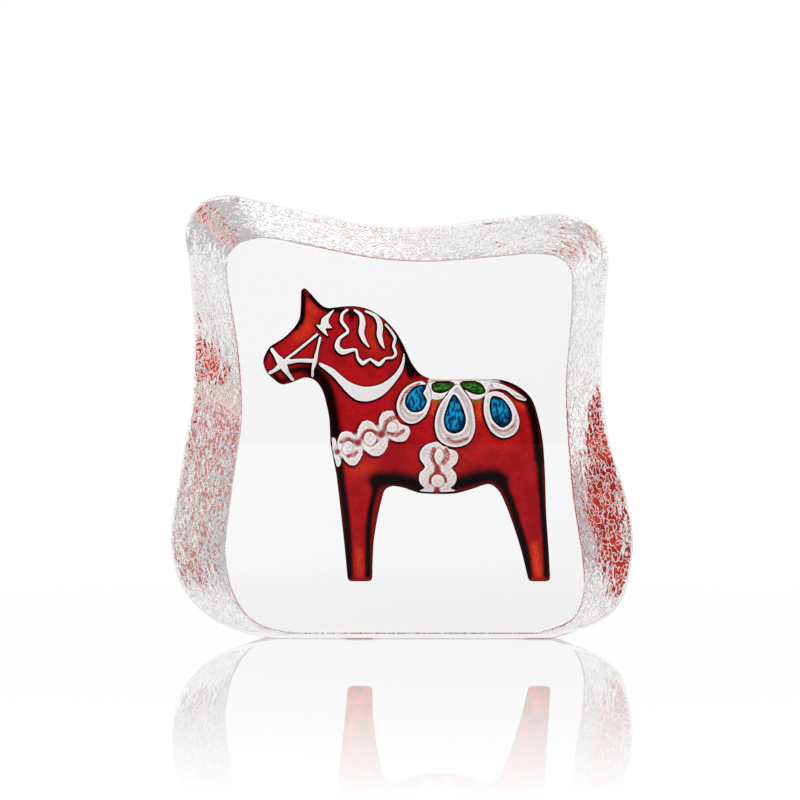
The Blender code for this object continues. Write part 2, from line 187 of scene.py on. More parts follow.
def relief(points):
    # how far the relief stands in front of the back face, in millimetres
    within = isInside(points, horse)
    inside = np.where(within, distanceTo(points, horse), 0)
    form = reliefForm
    chamfer = np.sin(math.pi / 2 * np.minimum(1, inside / form["chamferWidth"]))
    dome = 1 - np.exp(-np.maximum(0, inside - form["chamferWidth"] / 2) / form["domeReach"])
    return form["rimDepth"] + form["chamferDepth"] * chamfer + form["domeDepth"] * dome


def latticeIn(loops, spacing, holes=()):
    # evenly staggered points inside the loops, clear of their lines
    low = np.min([loop.min(axis=0) for loop in loops], axis=0)
    high = np.max([loop.max(axis=0) for loop in loops], axis=0)
    rowStep = 0.87  # the height of a triangle with sides of one
    rows = np.arange(low[1], high[1], spacing * rowStep)
    points = []
    for i, z in enumerate(rows):
        xs = np.arange(low[0] + (i % 2) * spacing / 2, high[0], spacing)
        points.append(np.stack([xs, np.full(len(xs), z)], axis=1))
    points = np.concatenate(points)
    keep = np.zeros(len(points), dtype=bool)
    for loop in loops:
        keep |= isInside(points, loop)
    points = points[keep]
    for loop in [*loops, *holes]:
        clear = spacing * 0.6
        points = points[distanceTo(points, loop) > clear]
    for hole in holes:
        points = points[~isInside(points, hole)]
    return points


def triangulate(loops, holes, extra):
    # triangles that fill the loops round their holes, with the extra points among them
    points, edges = [], []
    for loop in [*loops, *holes]:
        start = len(points)
        points += list(loop)
        edges += [(start + i, start + (i + 1) % len(loop)) for i in range(len(loop))]
    points += list(extra)
    found = geometry.delaunay_2d_cdt([Vector(p) for p in points], edges, [], 0, 1e-6)
    places = np.array([p[:] for p in found[0]])
    faces = found[2]
    centres = np.array([places[f].mean(axis=0) for f in faces])
    keep = np.zeros(len(faces), dtype=bool)
    for loop in loops:
        keep |= isInside(centres, loop)
    for hole in holes:
        keep &= ~isInside(centres, hole)
    return places, [f for f, kept in zip(faces, keep) if kept]


def makeSheet(name, places, faces, front, back):
    # a closed solid over the triangles, between two depths given per place, in millimetres
    mesh = bmesh.new()
    used = sorted({i for f in faces for i in f})
    near = {i: mesh.verts.new((places[i][0] * mm, front[i] * mm, places[i][1] * mm)) for i in used}
    far = {i: mesh.verts.new((places[i][0] * mm, back[i] * mm, places[i][1] * mm)) for i in used}
    sides = set()
    for f in faces:
        mesh.faces.new([near[i] for i in f])
        mesh.faces.new([far[i] for i in reversed(f)])
        sides |= {(f[k], f[(k + 1) % 3]) for k in range(3)}
    for i, j in sorted(sides):
        if (j, i) not in sides:
            mesh.faces.new([near[j], near[i], far[i], far[j]])
    bmesh.ops.recalc_face_normals(mesh, faces=mesh.faces)
    data = bpy.data.meshes.new(name)
    mesh.to_mesh(data)
    mesh.free()
    piece = bpy.data.objects.new(name, data)
    bpy.context.scene.collection.objects.link(piece)
    return piece


def flatPlaces(piece):
    places = np.empty(len(piece.data.vertices) * 3)
    piece.data.vertices.foreach_get("co", places)
    return places.reshape(-1, 3)[:, [0, 2]] / mm


def writeMask(piece, name, values):
    mask = piece.data.attributes.new(name, "FLOAT", "POINT")
    mask.data.foreach_set("value", np.clip(values, 0, 1).astype(np.float32))


def smoothStep(values, low, high):
    t = np.clip((values - low) / (high - low), 0, 1)
    return t * t * (3 - 2 * t)


def finishShading(piece, angle):
    bpy.ops.object.select_all(action="DESELECT")
    piece.select_set(True)
    bpy.context.view_layer.objects.active = piece
    bpy.ops.object.shade_smooth_by_angle(angle=math.radians(angle))
    piece.select_set(False)


# the crystal block: counts, millimetres for the bevels and metres for the texture
blockForm = {
    "sideVerts": 880,
    "baseVerts": 48,
    "wallRows": 66,
    "frontBevel": 1.0,
    "backBevel": 0.5,
    "bevelRows": 4,
    "grainSize": 0.0010,
    "grainDepth": 0.00010,
    "grainStretch": 1.8,
    "rippleSize": 0.0040,
    "rippleDepth": 0.00032,
    "grainOctaves": 2,
    "fadeFront": 1.2,
    "fadeBack": 1.0,
    "fadeEnds": 12,
    "middleHeight": 57,
    "sameSpot": 0.02,
    "baseBand": 0.05,
    "outlineStep": 0.2,
    "firstTurn": 0.625,
    "sharpAngle": 60,
}


def blockRing(depth):
    # the block's outline at one depth, from the base's left corner round over the top
    form = blockForm
    points = corners("crystal_block").reshape(-1, 3)
    ring = points[np.abs(points[:, 1] - depth) < form["sameSpot"]][:, [0, 2]]
    turns = np.arctan2(ring[:, 0], ring[:, 1] - form["middleHeight"])
    order = np.argsort(turns)
    kept = []
    for point in ring[order]:
        if not kept or np.abs(point - kept[-1]).max() > form["sameSpot"]:
            kept.append(point)
    kept = np.array(kept)
    low = np.flatnonzero(kept[:, 1] < form["baseBand"])
    start = low[np.argmin(kept[low, 0])]
    kept = np.roll(kept, -start, axis=0)
    end = int(np.argmax(np.where(kept[:, 1] < form["baseBand"], kept[:, 0], -np.inf)))
    return kept[: end + 1]


def makeBlock():
    form = blockForm
    total = form["sideVerts"] + form["baseVerts"]
    loops = []
    for depth in (frontFace + form["frontBevel"], backFace - form["backBevel"]):
        ring = smoothed(blockRing(depth), form["outlineStep"], closed=False)
        steps = np.concatenate([[0], np.cumsum(np.linalg.norm(np.diff(ring, axis=0), axis=1))])
        places = np.linspace(0, steps[-1], form["sideVerts"])
        side = np.stack([np.interp(places, steps, ring[:, k]) for k in (0, 1)], axis=1)
        base = np.linspace(side[-1], side[0], form["baseVerts"] + 2)[1:-1]
        loops.append(np.concatenate([side, base]))

    # one profile row per ring of vertices: depth, share of the back outline, inset
    bevelRows = form["bevelRows"]
    profile = []
    for k in range(bevelRows):
        turn = math.pi / 2 * k / bevelRows
        inset = form["frontBevel"] * (1 - math.sin(turn))
        profile.append((frontFace + form["frontBevel"] * (1 - math.cos(turn)), 0, inset))
    span = backFace - form["backBevel"] - frontFace - form["frontBevel"]
    for k in range(form["wallRows"] + 1):
        share = k / form["wallRows"]
        profile.append((frontFace + form["frontBevel"] + span * share, share, 0))
    for k in range(1, bevelRows + 1):
        turn = math.pi / 2 * k / bevelRows
        inset = form["backBevel"] * (1 - math.cos(turn))
        profile.append((backFace - form["backBevel"] * (1 - math.sin(turn)), 1, inset))

    depth = (backFace - frontFace) * mm
    bpy.ops.mesh.primitive_cylinder_add(
        vertices=total, radius=depth, depth=depth, end_fill_type="NGON", rotation=(math.pi / 2, 0, 0)
    )
    block = bpy.context.object
    block.name = "crystalBlock"
    bpy.ops.object.transform_apply(location=True, rotation=True, scale=True)
    bpy.ops.object.mode_set(mode="EDIT")
    bpy.ops.mesh.select_all(action="DESELECT")
    bpy.ops.mesh.select_mode(type="EDGE")
    shell = bmesh.from_edit_mesh(block.data)
    for edge in shell.edges:
        edge.select = abs(edge.verts[0].co.y - edge.verts[1].co.y) > depth / 2
    shell.select_flush_mode()
    bmesh.update_edit_mesh(block.data)
    bpy.ops.mesh.subdivide(number_cuts=len(profile) - 2)
    bpy.ops.object.mode_set(mode="OBJECT")

    # each vertex takes its place on the outlines by its row and its turn
    insets = {}
    rough = block.vertex_groups.new(name="castWall")
    for vert in block.data.vertices:
        row = round((vert.co.y + depth / 2) / depth * (len(profile) - 1))
        share = math.atan2(vert.co.x, vert.co.z) / (2 * math.pi) + form["firstTurn"]
        turn = round(share * total) % total
        y, share, inset = profile[row]
        if (share, inset) not in insets:
            loop = loops[0] * (1 - share) + loops[1] * share
            insets[(share, inset)] = insetBy(loop, inset) if inset else loop
        x, z = insets[(share, inset)][turn]
        onSide = turn < form["sideVerts"]
        fromFront = y - frontFace - form["frontBevel"]
        fromBack = backFace - form["backBevel"] - y
        fade = min(1, max(0, fromFront / form["fadeFront"])) * min(1, max(0, fromBack / form["fadeBack"]))
        endFade = min(1, turn / form["fadeEnds"], (form["sideVerts"] - turn) / form["fadeEnds"])
        vert.co = (x * mm, y * mm, z * mm)
        if onSide and fade > 0 and endFade > 0:
            rough.add([vert.index], fade * endFade, "REPLACE")
    bpy.ops.object.mode_set(mode="EDIT")
    bpy.ops.mesh.select_all(action="SELECT")
    bpy.ops.mesh.normals_make_consistent(inside=False)
    bpy.ops.object.mode_set(mode="OBJECT")

    # the mould's texture: a slow ripple and a fine grain, drawn out towards the back
    bpy.ops.object.empty_add(location=(0, 0, 0))
    grainFrame = bpy.context.object
    grainFrame.scale = (1, form["grainStretch"], 1)
    bpy.context.view_layer.objects.active = block
    for name, size, height in (
        ("castRipple", form["rippleSize"], form["rippleDepth"]),
        ("castGrain", form["grainSize"], form["grainDepth"]),
    ):
        pattern = bpy.data.textures.new(name, "CLOUDS")
        pattern.noise_scale = size
        pattern.noise_depth = form["grainOctaves"]
        push = block.modifiers.new(name, "DISPLACE")
        push.texture = pattern
        push.texture_coords = "OBJECT"
        push.texture_coords_object = grainFrame
        push.strength = height
        push.mid_level = 0.5
        push.vertex_group = "castWall"
        bpy.ops.object.modifier_apply(modifier=name)
    bpy.data.objects.remove(grainFrame)
    return block


# the recess in the block's back, in millimetres
recessForm = {"inset": 0.15, "spacing": 1.0, "intoCoat": 0.4, "pastBack": 1}


def cutRecess(block):
    # the recess meets the enamel inside the coat's thickness, so no gap shows through the glass
    form = recessForm
    mouth = insetBy(horse[::2], form["inset"])
    places, faces = triangulate([mouth], [], latticeIn([mouth], form["spacing"]))
    front = backFace - relief(places) + form["intoCoat"]
    tool = makeSheet("recessTool", places, faces, front, np.full(len(places), backFace + form["pastBack"]))
    cut = block.modifiers.new("recess", "BOOLEAN")
    cut.operation = "DIFFERENCE"
    cut.object = tool
    bpy.context.view_layer.objects.active = block
    bpy.ops.object.modifier_apply(modifier="recess")
    bpy.data.objects.remove(tool)


block = makeBlock()
print("block before the recess:", len(block.data.vertices), "vertices")
cutRecess(block)
finishShading(block, blockForm["sharpAngle"])
# the polished faces stay flat, or the glass would bend what is seen through them
rounded = [abs(abs(face.normal.y) - 1) > 1e-5 for face in block.data.polygons]
block.data.polygons.foreach_set("use_smooth", rounded)
print("block with the recess:", len(block.data.vertices), "vertices")


# the red coat, in millimetres
coatForm = {
    "spacing": 0.36,
    "thickness": 1.9,
    "behind": 0.04,
    "shadowShift": (-0.16, -0.2),
    "girthMiddle": ((7.2, 37.8), (12.0, 49.7)),
    "edgeRings": (0.15, 0.35, 0.7, 1.1),
    "latticeInset": 1.3,
    "rimWidth": 0.3,
    "edgeReach": 3,
    "fieldReach": 1.5,
    "sharpAngle": 50,
}
# airbrushed dark paint, together with painted shade on the relief's steep sides: points in millimetres,
# radius, strength
darkStrokes = [
    ([(-16.6, 45.5), (-16.2, 42), (-15.2, 35), (-14.4, 27), (-13.9, 15.5)], 1.35, 1.0),
    ([(-6.4, 40.5), (-7.2, 37.5), (-8.5, 31.4), (-8.9, 23.9), (-9.0, 15.5)], 1.0, 1.0),
    ([(-7.2, 40.4), (-4.7, 40.8), (-1.5, 40.7), (1.5, 40.2), (4.6, 39.0)], 2.0, 1.0),
    ([(-6.0, 42.0), (-1.5, 42.2), (4.0, 41.0)], 2.6, 0.45),
    ([(15.0, 41.2), (20.3, 42.8), (25.0, 42.8)], 2.6, 0.4),
    ([(14.4, 39.5), (17.2, 40.3), (20.3, 41.1), (23.8, 41.7), (26.5, 40.7)], 2.0, 1.0),
    ([(26.6, 40.4), (29.3, 33.8), (31.1, 27.8), (32.7, 22.4), (33.7, 15.5)], 1.3, 1.0),
    ([(36.4, 48), (37.0, 37.2), (37.7, 28.3), (38.1, 21.7), (38.3, 15.5)], 1.0, 1.0),
    ([(33.2, 62.4), (34.7, 58), (35.6, 53), (36.3, 46.5)], 1.5, 1.0),
    ([(26.5, 67.2), (29.8, 66.0), (32.4, 63.9)], 1.0, 1.0),
    ([(-23.5, 69.3), (-21.0, 67.4), (-19.3, 63.5), (-18.5, 59.5), (-17.9, 55.5), (-17.6, 53)], 2.1, 1.0),
    ([(-29.6, 69.4), (-27.2, 70.1), (-24.6, 69.9), (-22.7, 69.2)], 1.2, 0.85),
    ([(-34.0, 69.0), (-32.5, 67.2), (-30.8, 67.1)], 0.8, 0.85),
    ([(-36.3, 72.6), (-35.9, 74.1), (-35.0, 75.6)], 0.7, 0.85),
    ([(-17.9, 86.0), (-15.6, 85.6), (-13.6, 85.3)], 1.1, 0.9),
    ([(-12.9, 84.4), (-13.4, 83.2)], 0.9, 0.7),
    ([(-4.4, 82.0), (-3.4, 80.6), (-3.0, 79.2)], 0.9, 0.85),
    ([(-0.9, 79.3), (0.6, 75.9), (1.6, 73.0), (2.6, 70.6), (4.3, 69.2)], 1.4, 1.0),
    ([(1.1, 71.6), (1.9, 69.7), (2.4, 68.2)], 1.0, 0.95),
    ([(-26.1, 90.4), (-26.2, 86.1), (-26.5, 83.2), (-28.0, 81.4)], 0.9, 1.0),
    ([(-24.3, 89.6), (-21.8, 86.9), (-19.8, 85.8), (-18.0, 85.9)], 0.75, 1.0),
    ([(-28.3, 81.0), (-32.3, 77.7), (-34.9, 76.0)], 0.6, 1.0),
]
# brighter orange-red, mostly painted highlights where the relief faces the light, partly orange glaze:
# points in millimetres, radius, strength
orangeAndHighlightStrokes = [
    ([(-25.6, 83.6), (-24.6, 81.6), (-27.4, 78.6)], 1.8, 0.5),
    ([(-24.4, 87.0), (-23.2, 85.4)], 1.1, 0.7),
    ([(-8.0, 80.0), (-7.6, 76.0)], 2.4, 0.35),
    ([(16.0, 47.0), (20.5, 49.5), (27.0, 50.5)], 3.0, 0.12),
    ([(-13.0, 43.5), (-8.5, 44.0)], 2.0, 0.45),
    ([(8.6, 60.8), (8.4, 58.6)], 0.9, 0.9),
    ([(20.3, 60.6), (20.5, 57.6)], 0.9, 0.9),
    ([(29.2, 62.4), (32.0, 60.4)], 1.1, 0.9),
    ([(-11.2, 22.0), (-11.1, 15.6)], 1.2, 0.55),
    ([(35.2, 23.0), (36.2, 16.0)], 1.3, 0.95),
]
# deep red glaze that gathered round the links' cores
ringStrokes = [
    ([(-16.0, 50.9), (-14.5, 51.6), (-12.9, 51.1)], 0.6, 1.0),
    ([(-14.3, 47.1), (-12.9, 47.4), (-12.0, 48.2)], 0.6, 0.9),
    ([(-10.5, 52.0), (-9.8, 53.3), (-8.5, 53.9), (-7.0, 53.3)], 0.62, 1.0),
    ([(-7.6, 50.4), (-6.5, 51.1)], 0.55, 0.8),
    ([(-4.6, 54.4), (-4.1, 56.0), (-2.7, 57.1), (-1.0, 57.3), (0.3, 56.4)], 0.65, 1.0),
    ([(-3.4, 53.1), (-1.4, 52.8), (0.3, 53.8)], 0.6, 1.0),
    ([(8.5, 48.9), (8.0, 47.0), (9.1, 45.0)], 0.7, 1.0),
    ([(11.6, 48.6), (12.0, 47.0), (11.0, 45.4)], 0.75, 1.0),
    ([(7.5, 40.0), (7.7, 41.7), (9.5, 42.7), (11.2, 41.8), (11.6, 40.4)], 0.55, 0.9),
    ([(9.4, 43.4), (9.4, 43.8)], 0.9, 1.0),
    ([(9.3, 37.7), (9.3, 38.3)], 0.9, 1.0),
    ([(-11.7, 50.6), (-11.5, 50.7)], 1.05, 1.0),
    ([(-5.5, 52.8), (-5.3, 53.0)], 1.15, 1.0),
    ([(-17.2, 48.2), (-17.0, 48.3)], 0.85, 1.0),
]
# white glaze that ran over the gaps round the saddle
paleStrokes = [
    ([(7.5, 67.3), (7.0, 65.2), (7.7, 62.4)], 0.5, 1.0),
    ([(12.6, 63.8), (14.2, 66.8), (16.2, 63.8)], 0.45, 1.0),
    ([(23.6, 67.2), (22.8, 65.2), (22.2, 63.4)], 0.6, 1.0),
    ([(23.4, 65.2), (27.5, 65.1), (30.4, 63.0)], 0.5, 0.8),
    ([(8.0, 67.4), (15.0, 67.4), (23.0, 67.4)], 0.4, 0.9),
    ([(24.5, 67.0), (27.0, 66.8)], 0.4, 0.8),
    ([(-11.9, 51.6), (-11.6, 50.6), (-11.0, 49.9)], 1.6, 1.0),
    ([(-5.8, 54.0), (-5.4, 52.9), (-4.7, 52.0)], 1.6, 1.0),
    ([(-17.4, 49.2), (-17.1, 48.2), (-16.9, 47.2)], 1.4, 1.0),
]
oliveStrokes = [([(8.6, 62.0), (9.9, 61.9)], 0.9, 0.8), ([(19.0, 61.9), (20.6, 61.8)], 0.9, 0.8)]
# the enamel fields on the coat, in millimetres
fieldForm = {
    "outlineStep": 0.15,
    "spacing": 0.3,
    "edgeRings": (0.12, 0.3),
    "lift": 0.22,
    "shoulder": 0.4,
    "seat": 0.03,
    "sunk": 0.5,
    "rimTop": (0.25, 0.55),
    "groove": (0.95, 0.22),
    "dropEdge": 0.3,
    "leafEdge": (0.45, 0.8),
    "cleanSpecks": 0.2,
    "sharpAngle": 60,
}
fieldNames = [name for name in nodes if name not in ("crystal_block", "red_body_coat")]
fieldLoops = {
    node: [smoothed(loop, fieldForm["outlineStep"]) for loop in outlinesOf(node)] for node in fieldNames
}
darkEdged = [node for node in fieldNames if node.startswith(("blue_drop", "green_leaf"))]


def brushed(points, strokes):
    # how strongly the airbrush's strokes cover each point
    cover = np.zeros(len(points))
    for line, radius, strength in strokes:
        path = smoothed(np.array(line, dtype=float), traceForm["strokeStep"], closed=False)
        away = distanceTo(points, path, closed=False)
        cover = 1 - (1 - cover) * (1 - strength * np.exp(-((away / radius) ** 2)))
    return cover


def makeCoat():
    # the coat's domed sheet, with masks that say where each shade of glaze, painted shade and painted
    # highlight lies
    form = coatForm
    rings = []
    for i, distance in enumerate(form["edgeRings"]):
        ring = insetBy(horse, distance)
        within = isInside(ring, horse) & (distanceTo(ring, horse) > distance * 0.97)
        rings.append(ring[within][::1 if i < 2 else 2])
    inner = latticeIn([horse], form["spacing"])
    inner = inner[distanceTo(inner, horse) > form["latticeInset"]]
    places, faces = triangulate([horse], [], np.concatenate([*rings, inner]))
    depth = relief(places)
    inside = distanceTo(places, horse)
    behind = backFace - np.maximum(0, depth - form["thickness"])
    behind = np.where(inside > form["rimWidth"], behind, backFace + form["behind"])
    coat = makeSheet("redCoat", places, faces, backFace - depth, behind)
    at = flatPlaces(coat)
    # painted shadow of the raised fields, partly their dark outline: the coat darkens next to the fields
    # moved down and to the left
    shifted = at - np.array(form["shadowShift"])
    outer = [loops[0] for node, loops in fieldLoops.items() if not node.startswith("saddle")]
    toField = np.min([distanceTo(shifted, line) for line in outer], axis=0)
    toField[np.any([isInside(shifted, line) for line in outer], axis=0)] = 0
    inLink = np.zeros(len(at), dtype=bool)
    for node, loops in fieldLoops.items():
        if node.startswith("breast_link"):
            inLink |= isInside(at, loops[0])
    (left, low), (right, high) = form["girthMiddle"]
    inLink |= (at[:, 0] > left) & (at[:, 0] < right) & (at[:, 1] > low) & (at[:, 1] < high)
    toDrop = np.min([distanceTo(at, fieldLoops[node][0]) for node in darkEdged], axis=0)
    onFront = np.arange(len(at)) < len(at) // 2  # the hollow back is plain red
    # painted shade along the outline, partly the real dark paint there
    writeMask(coat, "edgeNear", 1 - distanceTo(at, horse) / form["edgeReach"])
    writeMask(coat, "fieldNear", np.where(inLink, 0, 1 - toField / form["fieldReach"]) * onFront)
    writeMask(coat, "dropNear", (1 - toDrop / form["fieldReach"]) * onFront)
    writeMask(coat, "ringGlow", inLink * onFront)
    brushes = {
        "airbrush": darkStrokes,
        "glow": orangeAndHighlightStrokes,
        "ringRed": ringStrokes,
        "pale": paleStrokes,
        "olive": oliveStrokes,
    }
    for name, strokes in brushes.items():
        writeMask(coat, name, brushed(at, strokes) * onFront)
    return coat


coat = makeCoat()
finishShading(coat, coatForm["sharpAngle"])
print("red coat:", len(coat.data.vertices), "vertices")


# red glaze that pooled inside the petals: points in millimetres, radius, strength
tintStrokes = [
    ([(-0.3, 61.0), (0.6, 63.3), (2.4, 65.2), (4.6, 66.3)], 0.35, 0.9),
    ([(12.1, 51.8), (14.1, 50.9), (17.2, 51.8)], 0.5, 0.85),
    ([(23.8, 55.3), (25.6, 54.0), (27.8, 53.8), (29.6, 55.3)], 0.45, 0.55),
    ([(27.4, 63.3), (30.0, 63.0), (32.7, 62.4)], 0.3, 0.6),
]
# painted shade: the deepest blue and green, in crescents on the drops and along the leaves
paintedShadeStrokes = [
    ([(16.5, 57.4), (16.2, 55.8), (15.0, 54.0), (13.2, 53.6)], 0.7, 1.0),
    ([(25.1, 57.1), (26.5, 55.6), (28.2, 56.2), (28.6, 58.2)], 0.65, 0.95),
    ([(6.1, 65.9), (5.5, 64.2), (6.2, 62.0)], 0.6, 0.95),
    ([(8.2, 66.6), (9.2, 66.4)], 0.8, 0.8),
    ([(19.0, 66.9), (21.4, 66.0)], 0.6, 0.8),
]


def makeField(node):
    # one raised field of enamel on its node's outlines, with its finish's masks
    form = fieldForm
    loops = fieldLoops[node]
    outer, holes = loops[:1], loops[1:]
    rings = []
    for distance in form["edgeRings"]:
        for loop in loops:
            ring = insetBy(loop, distance if loop is loops[0] else -distance)
            within = isInside(ring, outer[0])
            for hole in holes:
                within &= ~isInside(ring, hole)
            for other in loops:
                within &= distanceTo(ring, other) > distance * 0.9
            rings.append(ring[within])
    rings.append(latticeIn(outer, form["spacing"], holes))
    places, faces = triangulate(outer, holes, np.concatenate(rings))
    toEdge = np.min([distanceTo(places, loop) for loop in loops], axis=0)
    lift = form["lift"] * np.sin(math.pi / 2 * np.minimum(1, toEdge / form["shoulder"])) - form["seat"]
    depth = relief(places)
    words = node.split("_")
    name = words[0] + "".join(word.capitalize() for word in words[1:])
    field = makeSheet(name, places, faces, backFace - depth - lift, backFace - depth + form["sunk"])
    at = flatPlaces(field)
    toEdge = np.min([distanceTo(at, loop) for loop in loops], axis=0)
    onPetal = node.startswith("white_petal")
    grooveAt, grooveWidth = form["groove"]
    writeMask(field, "rimTop", (1 - smoothStep(toEdge, *form["rimTop"])) * (node not in darkEdged))
    # painted shade: a grey ring where the petals' groove would lie
    writeMask(field, "groove", np.exp(-(((toEdge - grooveAt) / grooveWidth) ** 2)) * onPetal)
    tint = brushed(at, tintStrokes) * onPetal
    if node.startswith(("breast_link", "girth_band")):
        tint = brushed(at, ringStrokes)
    writeMask(field, "tint", tint)
    # the drops' and leaves' dark rims, and painted shade on them
    dusk = brushed(at, paintedShadeStrokes)
    if node.startswith("blue_drop"):
        dusk = np.maximum(dusk, np.exp(-((toEdge / form["dropEdge"]) ** 2)))
    if node.startswith("green_leaf"):
        reach, strength = form["leafEdge"]
        dusk = np.maximum(dusk, strength * np.exp(-((toEdge / reach) ** 2)))
    writeMask(field, "dusk", dusk * (node in darkEdged))
    clean = node.startswith(("mane", "collar", "bridle", "brow"))
    writeMask(field, "speckled", np.full(len(at), form["cleanSpecks"] if clean else 1.0))
    finishShading(field, form["sharpAngle"])
    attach(field, "root")
    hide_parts(node)
    return field


fields = {node: makeField(node) for node in fieldNames}
print("enamel fields:", len(fields))


# the finishes: these few functions keep the node code short
def newMaterial(name):
    material = bpy.data.materials.new(name)
    material.use_nodes = True
    return material, material.node_tree.nodes, material.node_tree.links


def addNode(made, kind, **settings):
    # a shader node with its settings; values for its sockets are keyed by name
    node = made.new("ShaderNode" + kind)
    for name, value in settings.items():
        if name == "sockets":
            for socket, amount in value.items():
                node.inputs[socket].default_value = amount
        else:
            setattr(node, name, value)
    return node


def newGroup(name, inputs, outputs):
    group = bpy.data.node_groups.new(name, "ShaderNodeTree")
    for label, kind, value in inputs:
        socket = group.interface.new_socket(label, in_out="INPUT", socket_type="NodeSocket" + kind)
        if value is not None:
            socket.default_value = value
    for label, kind in outputs:
        group.interface.new_socket(label, in_out="OUTPUT", socket_type="NodeSocket" + kind)
    return group, group.nodes, group.links


def mixColours(made, links, share, first, second):
    # first towards second by share; each is a colour or a socket
    mix = addNode(made, "Mix", data_type="RGBA")
    for socket, value in ((mix.inputs[0], share), (mix.inputs[6], first), (mix.inputs[7], second)):
        if isinstance(value, bpy.types.NodeSocket):
            links.new(value, socket)
        elif isinstance(value, tuple):
            socket.default_value = (*value, 1)
        else:
            socket.default_value = value
    return mix.outputs[2]


def ranged(made, links, value, low, high, toLow=0.0, toHigh=1.0):
    # value brought from one range to another, softly at both ends
    node = addNode(made, "MapRange", interpolation_type="SMOOTHSTEP")
    links.new(value, node.inputs["Value"])
    for name, amount in (("From Min", low), ("From Max", high), ("To Min", toLow), ("To Max", toHigh)):
        node.inputs[name].default_value = amount
    return node.outputs[0]


def passes(made, links, value, limit):
    # 1 where the value is past the limit
    node = addNode(made, "Math", operation="GREATER_THAN")
    node.inputs[1].default_value = limit
    links.new(value, node.inputs[0])
    return node.outputs[0]


# fired enamel's grain: noise detail, roughness, contrast, and the bumps' height in metres
grainForm = {
    "speckleDetail": (3.0, 0.65),
    "cloudDetail": (2.0, 0.5),
    "speckleRange": (0.38, 0.66),
    "cloudRange": (0.32, 0.68),
    "bumpDistance": 0.0002,
}


def enamelGrain():
    # speckles, soft clouds and the small bumps that fired enamel has
    form = grainForm
    inputs = [
        ("Speckle size", "Float", 2600.0), ("Cloud size", "Float", 420.0),
        ("Bump height", "Float", 0.05), ("Stretch", "Vector", (1, 1, 1)),
    ]
    outputs = [("Speckle", "Float"), ("Cloud", "Float"), ("Normal", "Vector")]
    group, made, links = newGroup("enamelGrain", inputs, outputs)
    start, end = made.new("NodeGroupInput"), made.new("NodeGroupOutput")
    where = addNode(made, "TexCoord")
    speckle, cloud = (
        addNode(made, "TexNoise", sockets={"Detail": detail, "Roughness": roughness})
        for detail, roughness in (form["speckleDetail"], form["cloudDetail"])
    )
    drawn = addNode(made, "VectorMath", operation="MULTIPLY")
    links.new(where.outputs["Object"], drawn.inputs[0])
    links.new(start.outputs["Stretch"], drawn.inputs[1])
    for node, label in ((speckle, "Speckle size"), (cloud, "Cloud size")):
        links.new(drawn.outputs[0], node.inputs["Vector"])
        links.new(start.outputs[label], node.inputs["Scale"])
    bump = addNode(made, "Bump", sockets={"Distance": form["bumpDistance"]})
    links.new(start.outputs["Bump height"], bump.inputs["Strength"])
    links.new(speckle.outputs["Fac"], bump.inputs["Height"])
    links.new(ranged(made, links, speckle.outputs["Fac"], *form["speckleRange"]), end.inputs["Speckle"])
    links.new(ranged(made, links, cloud.outputs["Fac"], *form["cloudRange"]), end.inputs["Cloud"])
    links.new(bump.outputs[0], end.inputs["Normal"])
    return group


grain = enamelGrain()


def mask(made, name):
    # one of the masks painted on a piece's points
    return addNode(made, "Attribute", attribute_name=name).outputs["Fac"]


def enamelBase(name, sizes, roughness):
    # a material with the grain group in place and its normal linked
    material, made, links = newMaterial(name)
    shader = made["Principled BSDF"]
    shader.inputs["Roughness"].default_value = roughness
    shader.inputs["Specular IOR Level"].default_value = 0
    grained = made.new("ShaderNodeGroup")
    grained.node_tree = grain
    for label, value in zip(("Speckle size", "Cloud size", "Bump height", "Stretch"), sizes):
        grained.inputs[label].default_value = value
    links.new(grained.outputs["Normal"], shader.inputs["Normal"])
    return material, made, links, grained


def finishColour(made, links, colour):
    links.new(colour, made["Principled BSDF"].inputs["Base Color"])


# colours are linear red, green, blue; grain is speckle size, cloud size, bump height
redForm = {
    "grain": (2200.0, 260.0, 0.25),
    "roughness": 0.42,
    "cloudShare": 0.45,
    "speckleShare": 0.5,
    "sprayBreak": -0.18,
    "sprayRange": (0.06, 0.85),
    "flankDeep": 0.9,
    "flankPaling": (2.5, 6.5),
    "body": (0.46, 0.008, 0.012),
    "deep": (0.22, 0.003, 0.005),
    # the brighter orange-red of the painted highlights and of the painted reflections in the walls
    "glow": (0.78, 0.050, 0.014),
    "dark": (0.004, 0.001, 0.001),
    "ring": (0.30, 0.012, 0.010),
    "blush": (0.68, 0.48, 0.44),
    "white": (0.62, 0.60, 0.58),
    "olive": (0.16, 0.13, 0.03),
    "flank": (0.30, 0.012, 0.016),
    # the paler colour painted into the walls' reflections
    "pale": (0.74, 0.66, 0.64),
}
seenDirectly = 1.5  # turns of light, past which the enamel is only seen in the walls


